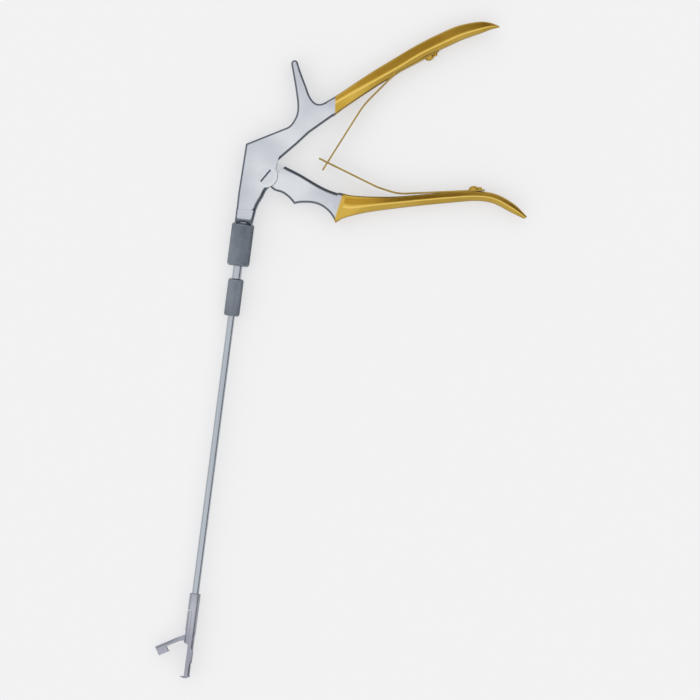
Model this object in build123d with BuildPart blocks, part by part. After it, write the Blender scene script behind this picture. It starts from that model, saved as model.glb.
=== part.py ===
from build123d import *
from math import cos, radians, sin, sqrt, tan
import os

# Biopsy punch with a squeeze handle, a detachable rotating shaft and a small hinged cutting jaw.
# The instrument lies flat: +X runs along the shaft to the jaws, +Y is the side of the two grips,
# +Z is up. The origin is on the shaft's axis, in the middle of the coupling nut. Millimetres.

# Shaft and its coupling
shaft_radius = 1.93
shaft_bore_radius = 1.15
rod_radius = 0.9
fit_gap = 0.1
nut_radius = 6.2
nut_start = -11.8
nut_end = 11.9
nut_bore_radius = 4.5
nut_chamfer = 1.0
nose_radius = 4.9
nose_end = nut_start - 0.3
nose_collar_start = -15.6
stub_radius = 4.3
stub_end = 1.0
stub_bore_radius = 1.75
socket_radius = 2.75
socket_depth = 7.0
flange_radius = 4.2
flange_start = stub_end + 0.2
flange_thickness = 2.8
washer_gap = 0.15
washer_thickness = 0.8
seat_gap = 0.02
neck_radius = 2.55
sleeve_radius = 4.3
sleeve_start = 19.0
sleeve_end = 39.6
sleeve_chamfer = 0.8
neck_end = 30.0
tube_start = 6.0
bush_end = 5.8
end_gap = 0.2

# Distal housing, fixed jaw and drive bar
housing_radius = 2.95
housing_start = 193.5
housing_rim = 0.5
tube_seat = 6.0
jaw_end = 240.5
parting_y = -0.5
parting_start = 202.8
parting_corner = 1.0
bar_gap = 0.1
bar_start = 203.4
bar_cheek_end = 220.7
bar_flat_end = 221.9
key_width = 2.2
key_height = 1.3
key_length = 5.0
key_start = 204.0
rod_thread_depth = 4.0
tongue_width = 2.3
tongue_gap = 0.1
housing_slot_start = 216.2
housing_slot_end = 225.6
bar_slot_start = 214.6

# Jaw movement
squeeze_travel = 20.0
jaw_travel = 60.0
lever_arm = 8.8
rod_travel = lever_arm * radians(squeeze_travel)
jaw_pivot_x = 218.8
jaw_pivot_y = 1.2
jaw_pin_radius = 0.6
jaw_hub_radius = 1.35
drive_pin_radius = 0.45
drive_pin_y = -1.5
cam_slot_gap = 0.1
cam_wall = 0.4

# Bite: the window in the fixed jaw and the cup on the moving jaw
window_start = 231.5
window_end = 239.3
window_width = 3.1
window_corner = 1.2
cup_start = 14.0
cup_end = 20.0
cup_width = 2.8
cup_rise = 3.0
cup_wall = 0.45
cup_floor = 0.5
hook_reach = 0.8
hook_thickness = 0.9
arm_end = 20.1
arm_root_x = 1.0
arm_widen_start = 6.6
jaw_width = 5.1
jaw_waist = 4.0
lip_drop = 2.3
lip_thickness = 0.7

# Handle
pivot_x = -39.1
pivot_y = 8.8
body_half = 4.5
edge_round = 1.5
broad_round = 2.6
ear_radius = 6.45
ear_gap = 0.35
tongue_half = 1.6
handle_slot_gap = 0.1
handle_hub_radius = 6.0
handle_slot_radius = 6.75
lever_half_width = 3.1
lever_tip = 1.7
ball_radius = 1.5
ball_gap = 0.05
ball_neck_radius = 0.65
ball_neck_length = 2.8
ball_boss_radius = 1.4
ball_boss_length = 5.0
pivot_screw_radius = 2.0
pivot_head_radius = 4.2
pivot_head_depth = 1.4
pivot_play = 0.04
pivot_thread_radius = 1.6
slot_width = 0.95
slot_depth = 0.6
screw_slot_angle = -32.5
lever_floor = -2.4
lever_room = 10.8
neck_swing = 0.75

# Leaf springs
leaf_thickness = 0.6
leaf_width = 6.0
leaf_tongue_width = 2.6
leaf_window_width = 3.4
leaf_screw_radius = 1.1
leaf_head_radius = 2.3
leaf_head_height = 1.6
leaf_pin_radius = 0.8
leaf_pin_head_radius = 1.2
leaf_screw_depth = 3.2
leaf_pin_depth = 2.2
leaf_pin_spacing = 3.9
leaf_pin_rise = 0.7
leaf_tail = 1.9

# Where the outline runs: spur, arm and grips, as read from the photograph
corner_share = 0.2
upper_route = [(-118.8, 95.0), (-102.7, 72.9), (-84.9, 57.3), (-46.3, 39.4)]
upper_bends = [34.0, 45.0]
lower_route = [(-47.1, 129.2), (-39.1, 82.2), (-41.0, 70.2), (-52.5, 36.7)]
lower_bends = [25.0, 25.0]
leaf_tongue_length = 12.0
leaf_taper_length = 34.0
leaf_cut_depth = 4.0
leaf_window_start = 3.2
leaf_window_length = 8.0
ball_x = pivot_x - lever_arm * tan(radians(squeeze_travel / 2))
upper_stations = [
    ((-79.4, 31.6), (-75.0, 34.6), 2.6, 3.0, 2.8),
    ((-87.5, 41.9), (-81.9, 46.4), 3.2, 5.5, 3.8),
    ((-101.9, 57.7), (-95.8, 63.0), 2.5, 6.6, 3.6),
    ((-111.6, 69.8), (-105.4, 74.5), 2.4, 6.7, 3.5),
    ((-121.2, 82.0), (-114.6, 86.5), 2.4, 6.7, 3.4),
    ((-129.6, 94.4), (-122.5, 98.8), 2.4, 6.7, 3.3),
    ((-134.4, 103.8), (-127.7, 107.2), 2.3, 6.4, 3.0),
    ((-137.7, 113.5), (-132.0, 115.6), 2.0, 5.0, 2.6),
    ((-138.6, 120.1), (-134.8, 121.2), 1.5, 3.8, 2.0),
    ((-137.6, 125.6), (-136.4, 125.9), 0.8, 2.0, 1.0),
]
lower_stations = [
    ((-25.6, 48.4), (-35.1, 49.6), body_half, body_half, body_half),
    ((-22.6, 54.6), (-34.3, 56.6), 3.2, 5.0, 4.2),
    ((-25.6, 63.6), (-34.2, 64.6), 2.6, 6.1, 3.8),
    ((-29.9, 79.0), (-36.6, 80.4), 2.4, 6.7, 3.5),
    ((-33.8, 94.1), (-39.9, 95.5), 2.4, 6.7, 3.3),
    ((-37.3, 109.2), (-42.9, 110.4), 2.4, 6.7, 3.1),
    ((-40.0, 124.4), (-45.3, 125.1), 2.4, 6.7, 3.0),
    ((-40.9, 133.6), (-45.9, 134.2), 2.3, 6.3, 2.8),
    ((-39.2, 140.4), (-43.6, 141.2), 2.0, 5.0, 2.5),
    ((-36.2, 147.4), (-39.6, 148.9), 1.6, 4.0, 2.0),
    ((-34.0, 152.9), (-35.3, 154.7), 0.8, 2.2, 1.1),
]

os.makedirs("parts", exist_ok=True)


def finish(builder, name):
    """Name the piece and write it to its own file."""
    builder.part.label = name
    export_step(builder.part, "parts/" + name + ".step")


def across_shaft(x):
    """A plane across the shaft at the given place, facing the jaws."""
    return Plane(origin=(x, 0, 0), x_dir=(0, 1, 0), z_dir=(1, 0, 0))


def round_bar(start, end, radius, mode=Mode.ADD):
    """A round bar along the shaft's axis, joined to the piece being made or cut from it."""
    with BuildSketch(across_shaft(start)) as section:
        Circle(radius)
    extrude(section.sketch, amount=end - start, mode=mode)


def upright_pin(x, y, bottom, top, radius, mode=Mode.ADD):
    """A round pin along +Z, joined to the piece being made or cut from it."""
    with BuildSketch(Plane((x, y, bottom))) as section:
        Circle(radius)
    extrude(section.sketch, amount=top - bottom, mode=mode)


def grip_section(outer, inner, outer_half, ridge_half, inner_half):
    """One ridged section of a grip, across it from its outer to its inner edge."""
    across = Vector(inner[0] - outer[0], inner[1] - outer[1], 0)
    width = across.length
    middle = ((outer[0] + inner[0]) / 2, (outer[1] + inner[1]) / 2, 0)
    plane = Plane(origin=middle, x_dir=across, z_dir=across.cross(Vector(0, 0, 1)))
    side = 1 if plane.y_dir.Z > 0 else -1
    ridge = 0.06 * width
    corners = [
        Vector(-width / 2, -outer_half),
        Vector(ridge, -ridge_half),
        Vector(width / 2, -inner_half),
        Vector(width / 2, inner_half),
        Vector(ridge, ridge_half),
        Vector(-width / 2, outer_half),
    ]
    points = []
    for number, corner in enumerate(corners):
        before = corners[number - 1]
        after = corners[(number + 1) % len(corners)]
        points.append(corner + (before - corner) * corner_share)
        points.append(corner + (after - corner) * corner_share)
    with BuildSketch(plane) as section:
        with BuildLine():
            Spline([(point.X, side * point.Y) for point in points], periodic=True)
        make_face()
    return section.sketch


def leaf_frame(route):
    """The direction of a leaf's run along its grip, and its normal away from that grip."""
    end = Vector(route[0][0], route[0][1], 0)
    along = (Vector(route[1][0], route[1][1], 0) - end).normalized()
    normal = along.cross(Vector(0, 0, 1))
    towards_tip = Vector(route[-1][0], route[-1][1], 0) - end
    if normal.dot(towards_tip) < 0:
        normal = -normal
    return end, along, normal


def leaf_shank(place, normal, depth, radius, rise=0.0, mode=Mode.ADD):
    """A round shank from above a leaf down into its grip, joined to the piece being made or cut from it."""
    with BuildSketch(Plane(origin=place - normal * depth, z_dir=normal)) as section:
        Circle(radius)
    extrude(section.sketch, amount=depth + rise, mode=mode)


upper_leaf_end, upper_leaf_along, upper_leaf_normal = leaf_frame(upper_route)
upper_pin_place = upper_leaf_end + upper_leaf_along * leaf_tail
upper_screw_place = upper_pin_place + upper_leaf_along * leaf_pin_spacing
lower_leaf_end, lower_leaf_along, lower_leaf_normal = leaf_frame(lower_route)
lower_pin_place = lower_leaf_end + lower_leaf_along * leaf_tail
lower_screw_place = lower_pin_place + lower_leaf_along * leaf_pin_spacing

# Fixed handle: forged body with the finger spur, the upper grip and the nose that takes the nut
ear_start = radians(132)
ear_end = radians(30)


def around_pivot(radius, angle):
    """A point at this distance and angle from the handle's pivot."""
    return (pivot_x + radius * cos(angle), pivot_y + radius * sin(angle))


with BuildPart() as fixed_handle:
    with BuildSketch():
        with BuildLine():
            heel = Polyline((nose_collar_start, -4.7), (-28.0, -4.9), (-55.2, -4.2), (-66.7, 16.5))
            spur_back = Spline(
                heel @ 1, (-70.6, 19.9), (-76.2, 21.4), (-85.7, 19.7), (-101.6, 14.9),
                tangents=[(-0.45, 0.89), (-0.95, -0.3)],
            )
            spur_tip = ThreePointArc(spur_back @ 1, (-104.1, 16.1), (-102.6, 18.6))
            spur_front = Spline(
                spur_tip @ 1, (-96.8, 21.4), (-89.4, 25.3), (-83.6, 29.0), (-82.0, 32.0), (-84.2, 37.0),
                tangents=[(0.9, 0.4), (-0.65, 0.76)],
            )
            arm = Polyline(spur_front @ 1, (-87.7, 41.4), (-81.7, 46.8), (-65.7, 29.5), (-58.5, 23.5), (-48.4, 14.4),
                           around_pivot(ear_radius, ear_start))
            ear = ThreePointArc(arm @ 1, around_pivot(ear_radius, radians(85)), around_pivot(ear_radius, ear_end))
            throat = Spline(ear @ 1, (-30.2, 9.7), (-27.4, 8.8), (-23.3, 7.0), (-20.3, 6.1), (nose_collar_start, 4.8),
                            tangents=[(0.5, -0.6), (1, -0.15)])
            Line(throat @ 1, heel @ 0)
        make_face()
    extrude(amount=body_half, both=True)
    front_edges = fixed_handle.edges().filter_by(GeomType.BSPLINE).filter_by(
        lambda e: abs(abs(e.center().Z) - body_half) < 0.01 and e.center().X > nose_collar_start - 20)
    fillet(front_edges, broad_round)
    rim_edges = fixed_handle.edges().filter_by(
        lambda e: abs(abs(e.center().Z) - body_half) < 0.01
        and e.center().X < nose_collar_start - 0.5
        and not (e.center().X > -48 and e.center().Y > 9.0))
    fillet(rim_edges, edge_round)
    loft([grip_section(*station) for station in upper_stations])
    round_bar(nose_collar_start - 1, nose_end, nose_radius)
    round_bar(nose_end, stub_end, stub_radius)
    with BuildSketch():
        with Locations((pivot_x, pivot_y)):
            Circle(handle_slot_radius)
        with BuildLine():
            Polyline(
                (pivot_x, pivot_y), around_pivot(10.4, radians(170)), around_pivot(13.0, radians(158)),
                around_pivot(15.0, radians(140)), around_pivot(15.0, radians(60)), close=True,
            )
        make_face()
        with Locations((pivot_x, lever_floor)):
            Rectangle(lever_room, pivot_y - lever_floor, align=(Align.CENTER, Align.MIN))
    extrude(amount=tongue_half + handle_slot_gap, both=True, mode=Mode.SUBTRACT)
    round_bar(pivot_x + 3, stub_end + 1, stub_bore_radius, Mode.SUBTRACT)
    round_bar(stub_end - socket_depth, stub_end + 1, socket_radius, Mode.SUBTRACT)
    upright_pin(pivot_x, pivot_y, 0, body_half + 1, pivot_screw_radius + seat_gap, Mode.SUBTRACT)
    upright_pin(pivot_x, pivot_y, body_half - pivot_head_depth, body_half + 1,
                pivot_head_radius + seat_gap, Mode.SUBTRACT)
    upright_pin(pivot_x, pivot_y, -body_half - 1, 0, pivot_thread_radius + seat_gap, Mode.SUBTRACT)
    leaf_shank(upper_screw_place, upper_leaf_normal, leaf_screw_depth + end_gap,
               leaf_screw_radius + seat_gap, mode=Mode.SUBTRACT)
    leaf_shank(upper_pin_place, upper_leaf_normal, leaf_pin_depth + end_gap,
               leaf_pin_radius + seat_gap, mode=Mode.SUBTRACT)
finish(fixed_handle, "fixed_handle")

with BuildPart() as pivot_screw:
    upright_pin(pivot_x, pivot_y, body_half - pivot_head_depth, body_half, pivot_head_radius)
    upright_pin(pivot_x, pivot_y, -tongue_half - handle_slot_gap, body_half - 0.5, pivot_screw_radius)
    upright_pin(pivot_x, pivot_y, -body_half, 0, pivot_thread_radius)
    with BuildSketch(Plane((pivot_x, pivot_y, body_half))):
        Rectangle(2.2 * pivot_head_radius, slot_width, rotation=screw_slot_angle)
    extrude(amount=-slot_depth, mode=Mode.SUBTRACT)
finish(pivot_screw, "pivot_screw")


# Movable handle: the lower grip, its finger hook, and a thin tongue with the lever that drives the rod
shoulder_radius = ear_radius + ear_gap
lever_plane = Plane(origin=(pivot_x, pivot_y, 0),
                    x_dir=(ball_x - pivot_x, -pivot_y, 0), z_dir=(0, 0, 1))
ball_distance = lever_arm / cos(radians(squeeze_travel / 2))

with BuildPart() as movable_handle:
    with BuildSketch():
        with BuildLine():
            first = Spline(around_pivot(shoulder_radius, radians(31)), (-31.9, 14.6), (-31.2, 18.3), (-29.4, 22.2),
                           (-25.8, 26.3), tangents=[(0.5, 0.85), (0.72, 0.7)])
            rest = Spline(first @ 1, (-27.2, 31.2), (-27.6, 36.5), (-26.6, 41.3), (-23.6, 46.2), (-18.4, 50.2),
                          tangents=[(-0.45, 0.9), (0.85, 0.5)])
            hook = Spline(rest @ 1, (-20.9, 53.3), (-23.6, 57.6), tangents=[(-0.75, 0.65), (-0.35, 0.93)])
            back = Polyline(hook @ 1, (-34.3, 59.2))
            top = Spline(back @ 1, (-34.4, 54.0), (-35.0, 48.6), (-36.8, 41.4), (-42.6, 27.5), (-45.7, 18.9),
                         tangents=[(0, -1), (-0.35, -0.93)])
            near = Polyline(top @ 1, (-42.9, 16.5), around_pivot(shoulder_radius, radians(105)))
            ThreePointArc(near @ 1, around_pivot(shoulder_radius, radians(68)), first @ 0)
        make_face()
    extrude(amount=body_half, both=True)
    top_edges = movable_handle.edges().filter_by(
        lambda e: abs(abs(e.center().Z) - body_half) < 0.01 and e.center().X < -37.0 and e.center().Y > 24)
    fillet(top_edges, broad_round)
    low_edges = movable_handle.edges().filter_by(
        lambda e: abs(abs(e.center().Z) - body_half) < 0.01 and e.center().X > -35.0 and e.center().Y > 16
        and e.length > 4)
    fillet(low_edges, edge_round)
    loft([grip_section(*station) for station in lower_stations])
    with BuildSketch():
        with Locations((pivot_x, pivot_y)):
            Circle(handle_hub_radius)
        with BuildLine():
            Polyline((pivot_x, pivot_y), (-46.8, 14.8), (-45.7, 18.9), (-42.0, 22.0), (-34.0, 20.0),
                     around_pivot(handle_hub_radius, radians(35)), close=True)
        make_face()
    extrude(amount=tongue_half, both=True)
    with BuildSketch(lever_plane):
        Rectangle(ball_distance + lever_tip, 2 * lever_half_width, align=(Align.MIN, Align.CENTER))
    extrude(amount=tongue_half, both=True)
    with BuildSketch(lever_plane):
        with Locations((lever_arm - ball_gap, 0)):
            Circle(ball_radius + ball_gap)
            Rectangle(2 * lever_tip + 2, 2 * (ball_radius + ball_gap), align=(Align.MIN, Align.CENTER))
    extrude(amount=tongue_half + 1, both=True, mode=Mode.SUBTRACT)
    with BuildSketch(lever_plane):
        with Locations((ball_distance - ball_neck_radius - neck_swing, 0)):
            Rectangle(lever_tip + 5, lever_half_width + 1, align=(Align.MIN, Align.MIN))
    extrude(amount=ball_neck_radius + fit_gap, both=True, mode=Mode.SUBTRACT)
    upright_pin(pivot_x, pivot_y, -body_half, body_half, pivot_screw_radius + pivot_play, Mode.SUBTRACT)
    leaf_shank(lower_screw_place, lower_leaf_normal, leaf_screw_depth + end_gap,
               leaf_screw_radius + seat_gap, mode=Mode.SUBTRACT)
    leaf_shank(lower_pin_place, lower_leaf_normal, leaf_pin_depth + end_gap,
               leaf_pin_radius + seat_gap, mode=Mode.SUBTRACT)
finish(movable_handle, "movable_handle")


# Leaf springs: thin strips that lie along the grips, lift off and cross, one through a window in the other
def leaf_strip(route, bends):
    """A strip of full width along a route in the plane of the handle, joined to the piece being made."""
    with BuildSketch() as run:
        with BuildLine():
            FilletPolyline(route, radius=bends)
        trace(line_width=leaf_thickness)
    extrude(run.sketch, amount=leaf_width / 2, both=True)


def leaf_tip_plane(route):
    """A plane in the leaf's last straight run, with its x from the tip towards the root."""
    tip = Vector(route[-1][0], route[-1][1], 0)
    inward = (Vector(route[-2][0], route[-2][1], 0) - tip).normalized()
    return Plane(origin=tip, x_dir=inward, z_dir=inward.cross(Vector(0, 0, 1)))


def fastener_holes(screw_place, pin_place, normal):
    """The screw and pin holes through the end of a leaf, cut from the piece being made."""
    for place, radius in ((screw_place, leaf_screw_radius), (pin_place, leaf_pin_radius)):
        leaf_shank(place, normal, leaf_thickness, radius + fit_gap, leaf_thickness, Mode.SUBTRACT)


with BuildPart() as upper_leaf_spring:
    leaf_strip(upper_route, upper_bends)
    for side in (1, -1):
        with BuildSketch(leaf_tip_plane(upper_route)):
            with BuildLine():
                Polyline((-2, side * leaf_tongue_width / 2), (leaf_tongue_length, side * leaf_tongue_width / 2),
                         (leaf_taper_length, side * leaf_width / 2), (leaf_taper_length, side * leaf_width),
                         (-2, side * leaf_width), close=True)
            make_face()
        extrude(amount=leaf_cut_depth, both=True, mode=Mode.SUBTRACT)
    fastener_holes(upper_screw_place, upper_pin_place, upper_leaf_normal)
finish(upper_leaf_spring, "upper_leaf_spring")

with BuildPart() as lower_leaf_spring:
    leaf_strip(lower_route, lower_bends)
    with BuildSketch(leaf_tip_plane(lower_route)):
        with Locations((leaf_window_start, 0)):
            Rectangle(leaf_window_length, leaf_window_width, align=(Align.MIN, Align.CENTER))
    extrude(amount=leaf_thickness, both=True, mode=Mode.SUBTRACT)
    fastener_holes(lower_screw_place, lower_pin_place, lower_leaf_normal)
finish(lower_leaf_spring, "lower_leaf_spring")


def leaf_screw(place, normal):
    """A domed screw that clamps the leaf to the grip."""
    seat = Plane(origin=place, z_dir=normal)
    with BuildPart() as screw:
        leaf_shank(place, normal, leaf_screw_depth, leaf_screw_radius, leaf_thickness)
        with BuildSketch(seat.offset(leaf_thickness / 2 + seat_gap)):
            Circle(leaf_head_radius)
        extrude(amount=leaf_head_height)
        crown = screw.edges().sort_by(Axis(place, normal))[-1]
        fillet(crown, 0.75 * leaf_head_height)
    return screw


def leaf_pin(place, normal):
    """A small round-headed pin that keeps the leaf from turning."""
    seat = Plane(origin=place, z_dir=normal)
    with BuildPart() as pin:
        leaf_shank(place, normal, leaf_pin_depth, leaf_pin_radius, leaf_thickness)
        with BuildSketch(seat.offset(leaf_thickness / 2 + seat_gap)):
            Circle(leaf_pin_head_radius)
        extrude(amount=leaf_pin_rise)
        crown = pin.edges().sort_by(Axis(place, normal))[-1]
        fillet(crown, 0.7 * leaf_pin_rise)
    return pin


finish(leaf_screw(upper_screw_place, upper_leaf_normal), "upper_spring_screw")
finish(leaf_pin(upper_pin_place, upper_leaf_normal), "upper_spring_pin")
finish(leaf_screw(lower_screw_place, lower_leaf_normal), "lower_spring_screw")
finish(leaf_pin(lower_pin_place, lower_leaf_normal), "lower_spring_pin")


# Coupling: the knurled nut, the shaft's spigot with its washer and bush, and the turning sleeve
flange_end = flange_start + flange_thickness
washer_start = flange_end + washer_gap
nut_shoulder = washer_start + washer_thickness + washer_gap
spigot_start = stub_end - socket_depth + end_gap

with BuildPart() as coupling_nut:
    round_bar(nut_start, nut_end, nut_radius)
    chamfer(coupling_nut.edges().filter_by(GeomType.CIRCLE), nut_chamfer)
    round_bar(nut_start - 1, nut_shoulder, nut_bore_radius, Mode.SUBTRACT)
    round_bar(nut_start, nut_end + 1, neck_radius + fit_gap, Mode.SUBTRACT)
finish(coupling_nut, "coupling_nut")

with BuildPart() as shaft_spigot:
    round_bar(spigot_start, flange_start + 1, socket_radius - fit_gap)
    round_bar(flange_start, flange_end, flange_radius)
    round_bar(flange_start, neck_end, neck_radius)
    round_bar(spigot_start - 1, neck_end + 1, shaft_radius + seat_gap, Mode.SUBTRACT)
finish(shaft_spigot, "shaft_spigot")

with BuildPart() as thrust_washer:
    round_bar(washer_start, washer_start + washer_thickness, flange_radius)
    round_bar(washer_start - 1, washer_start + 2, neck_radius + fit_gap, Mode.SUBTRACT)
finish(thrust_washer, "thrust_washer")

with BuildPart() as rod_guide_bush:
    round_bar(spigot_start, bush_end, shaft_radius)
    round_bar(spigot_start - 1, bush_end + 1, rod_radius + fit_gap, Mode.SUBTRACT)
finish(rod_guide_bush, "rod_guide_bush")

with BuildPart() as rotation_sleeve:
    round_bar(sleeve_start, sleeve_end, sleeve_radius)
    chamfer(rotation_sleeve.edges().filter_by(GeomType.CIRCLE), sleeve_chamfer)
    round_bar(sleeve_start - 1, neck_end + end_gap, neck_radius + seat_gap, Mode.SUBTRACT)
    round_bar(neck_end, sleeve_end + 1, shaft_radius + seat_gap, Mode.SUBTRACT)
finish(rotation_sleeve, "rotation_sleeve")

with BuildPart() as shaft_tube:
    round_bar(tube_start, housing_start + tube_seat, shaft_radius)
    round_bar(tube_start - 1, housing_start + tube_seat + 1, shaft_bore_radius, Mode.SUBTRACT)
finish(shaft_tube, "shaft_tube")

# Rod that carries the squeeze to the jaw, with the ball that the lever grips
boss_start = ball_x + ball_radius + ball_neck_length
rod_start = boss_start + 1
rod_end = key_start + rod_thread_depth

with BuildPart() as rod_ball_end:
    with Locations((ball_x, 0, 0)):
        Sphere(ball_radius)
    round_bar(ball_x, boss_start + 0.5, ball_neck_radius)
    round_bar(boss_start, boss_start + ball_boss_length, ball_boss_radius)
    round_bar(rod_start, boss_start + ball_boss_length + 1, rod_radius + seat_gap, Mode.SUBTRACT)
finish(rod_ball_end, "rod_ball_end")

with BuildPart() as push_rod:
    round_bar(rod_start, rod_end, rod_radius)
finish(push_rod, "push_rod")

# Distal end: housing and fixed jaw in one piece, with the window that the cup bites into
channel_end = key_start + key_length + rod_travel + 2 * end_gap
slot_half = tongue_width / 2 + tongue_gap

with BuildPart() as fixed_jaw:
    round_bar(housing_start, jaw_end, housing_radius)
    fillet(fixed_jaw.edges().sort_by(Axis.X)[0], housing_rim)
    with BuildSketch(Plane.XZ):
        with BuildLine():
            flank = Spline((bar_flat_end + 0.4, housing_radius + 0.2), (bar_flat_end + 3.2, jaw_waist / 2),
                           (window_start - 2.0, jaw_waist / 2 + 0.1), (window_start + 3.0, jaw_width / 2),
                           (window_end - 1.4, jaw_width / 2), tangents=[(1, -0.5), (1, 0)])
            nose = ThreePointArc(flank @ 1, (jaw_end, 0), (window_end - 1.4, -jaw_width / 2))
            other = mirror(flank, about=Plane.XZ)
            Polyline(other @ 0, (housing_start - 1, -housing_radius - 0.2),
                     (housing_start - 1, housing_radius + 0.2), flank @ 0)
        make_face()
    extrude(amount=housing_radius + 1, both=True, mode=Mode.INTERSECT)
    with BuildSketch() as flat:
        with BuildLine():
            Polyline((parting_start, -4), (parting_start, parting_y), (window_end, parting_y),
                     (window_end + 0.2, parting_y - 0.4), (jaw_end - lip_thickness, parting_y - lip_drop),
                     (jaw_end - lip_thickness, -4), close=True)
        make_face()
        fillet(flat.vertices().group_by(Axis.X)[0].sort_by(Axis.Y)[-1], parting_corner)
    extrude(amount=housing_radius + 1, both=True, mode=Mode.SUBTRACT)
    with BuildSketch():
        with BuildLine():
            Polyline((jaw_end, parting_y), (jaw_end - lip_thickness, parting_y - lip_drop),
                     (jaw_end - lip_thickness, -4), (jaw_end + 1, -4), (jaw_end + 1, parting_y), close=True)
        make_face()
        with BuildLine():
            Polyline((jaw_end, 0.6), (jaw_end - 1.2, 3.0), (jaw_end + 1, 3.0), (jaw_end + 1, 0.6), close=True)
        make_face()
    extrude(amount=housing_radius + 1, both=True, mode=Mode.SUBTRACT)
    with BuildSketch(Plane.XY.offset(-key_width / 2 - fit_gap)):
        with Locations((parting_start, -housing_radius)):
            Rectangle(channel_end - parting_start, housing_radius + key_height + fit_gap,
                      align=(Align.MIN, Align.MIN))
    extrude(amount=key_width + 2 * fit_gap, mode=Mode.SUBTRACT)
    with BuildSketch(Plane.XZ):
        with Locations((housing_slot_start, 0)):
            Rectangle(housing_slot_end - housing_slot_start, 2 * slot_half, align=(Align.MIN, Align.CENTER))
        with Locations(((window_start + window_end) / 2, 0)):
            RectangleRounded(window_end - window_start, window_width, window_corner)
    extrude(amount=housing_radius + 1, both=True, mode=Mode.SUBTRACT)
    round_bar(housing_start - 1, housing_start + tube_seat, shaft_radius + seat_gap, Mode.SUBTRACT)
    round_bar(housing_start, parting_start + 1, rod_radius + fit_gap, Mode.SUBTRACT)
    upright_pin(jaw_pivot_x, jaw_pivot_y, -4, 4, jaw_pin_radius + seat_gap, Mode.SUBTRACT)
finish(fixed_jaw, "fixed_jaw")

# Drive bar: the other side of the round, sliding on the flat and carrying the drive pin
drive_pin_x = jaw_pivot_x - rod_travel / 2

with BuildPart() as drive_bar:
    round_bar(bar_start, bar_flat_end, housing_radius)
    with BuildSketch():
        with BuildLine():
            Polyline((bar_start, -4), (bar_start, parting_y - bar_gap), (bar_flat_end, parting_y - bar_gap),
                     (bar_cheek_end, -housing_radius), (bar_cheek_end, -4), close=True)
        make_face()
    extrude(amount=housing_radius + 1, both=True, mode=Mode.INTERSECT)
    with BuildSketch(Plane.XY.offset(-key_width / 2)):
        with Locations((key_start, parting_y - bar_gap - 0.5)):
            Rectangle(key_length, key_height + 0.5 - parting_y + bar_gap, align=(Align.MIN, Align.MIN))
    extrude(amount=key_width)
    with BuildSketch(Plane.XZ):
        with Locations((bar_slot_start, 0)):
            Rectangle(bar_flat_end + 1 - bar_slot_start, 2 * slot_half, align=(Align.MIN, Align.CENTER))
    extrude(amount=housing_radius + 1, both=True, mode=Mode.SUBTRACT)
    round_bar(bar_start - 1, rod_end, rod_radius + seat_gap, Mode.SUBTRACT)
    upright_pin(drive_pin_x, drive_pin_y, -4, 4, drive_pin_radius + seat_gap, Mode.SUBTRACT)
finish(drive_bar, "drive_bar")


def cheek_pin(x, y, radius):
    """A pin across the housing, just short of its round surface."""
    reach = sqrt(housing_radius ** 2 - (abs(y) + radius) ** 2)
    with BuildPart() as pin:
        upright_pin(x, y, -reach, reach, radius)
    return pin


finish(cheek_pin(jaw_pivot_x, jaw_pivot_y, jaw_pin_radius), "jaw_pivot_pin")
finish(cheek_pin(drive_pin_x, drive_pin_y, drive_pin_radius), "drive_pin")

# Moving jaw, drawn as it lies when closed, in planes turned open about its pivot
open_turn = radians(-jaw_travel)
jaw_along = (cos(open_turn), sin(open_turn), 0)
jaw_across = (-sin(open_turn), cos(open_turn), 0)
jaw_pivot = (jaw_pivot_x, jaw_pivot_y, 0)
jaw_side = Plane(origin=jaw_pivot, x_dir=jaw_along, z_dir=(0, 0, 1))
jaw_top = Plane(origin=jaw_pivot, x_dir=jaw_along, z_dir=jaw_across)
arm_face = parting_y - bar_gap - jaw_pivot_y
arm_back = -housing_radius + fit_gap - jaw_pivot_y
cam_near = jaw_pivot_y - drive_pin_y
cam_far = sqrt(cam_near ** 2 + (rod_travel / 2) ** 2)
cam_half = drive_pin_radius + cam_slot_gap
cam_angle = -90 + jaw_travel / 2
cup_top = arm_face + cup_rise


def cam_plane(distance):
    """A plane in the jaw's side view, out along the cam slot by this distance."""
    turn = radians(cam_angle) + open_turn
    direction = (cos(turn), sin(turn), 0)
    return Plane(origin=Vector(*jaw_pivot) + Vector(*direction) * distance, x_dir=direction, z_dir=(0, 0, 1))


with BuildPart() as jaw_arm:
    with BuildSketch(jaw_top):
        with BuildLine():
            edge = Spline((arm_widen_start, tongue_width / 2), (arm_widen_start + 3.0, jaw_waist / 2),
                          (cup_start + 1.0, jaw_width / 2), (cup_end - 1.2, jaw_width / 2),
                          tangents=[(1, 0.2), (1, 0)])
            tip = ThreePointArc(edge @ 1, (arm_end, 0), (cup_end - 1.2, -jaw_width / 2))
            far = Spline(tip @ 1, (cup_start + 1.0, -jaw_width / 2), (arm_widen_start + 3.0, -jaw_waist / 2),
                         (arm_widen_start, -tongue_width / 2), tangents=[(-1, 0), (-1, 0.2)])
            Polyline(far @ 1, (arm_widen_start - 1, -tongue_width / 2), (arm_widen_start - 1, tongue_width / 2),
                     edge @ 0)
        make_face()
    extrude(amount=6, both=True)
    with BuildSketch(jaw_side):
        with BuildLine():
            Polyline((0, arm_face), (arm_end + 1, arm_face), (arm_end + 1, -6), (0, -6), close=True)
        make_face()
    extrude(amount=4, both=True, mode=Mode.INTERSECT)
    with BuildSketch(Plane(origin=jaw_side.from_local_coords((0, -jaw_pivot_y, 0)), x_dir=(0, 0, 1),
                           z_dir=jaw_along)):
        Circle(housing_radius - fit_gap)
    extrude(amount=arm_end + 2, mode=Mode.INTERSECT)

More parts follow.
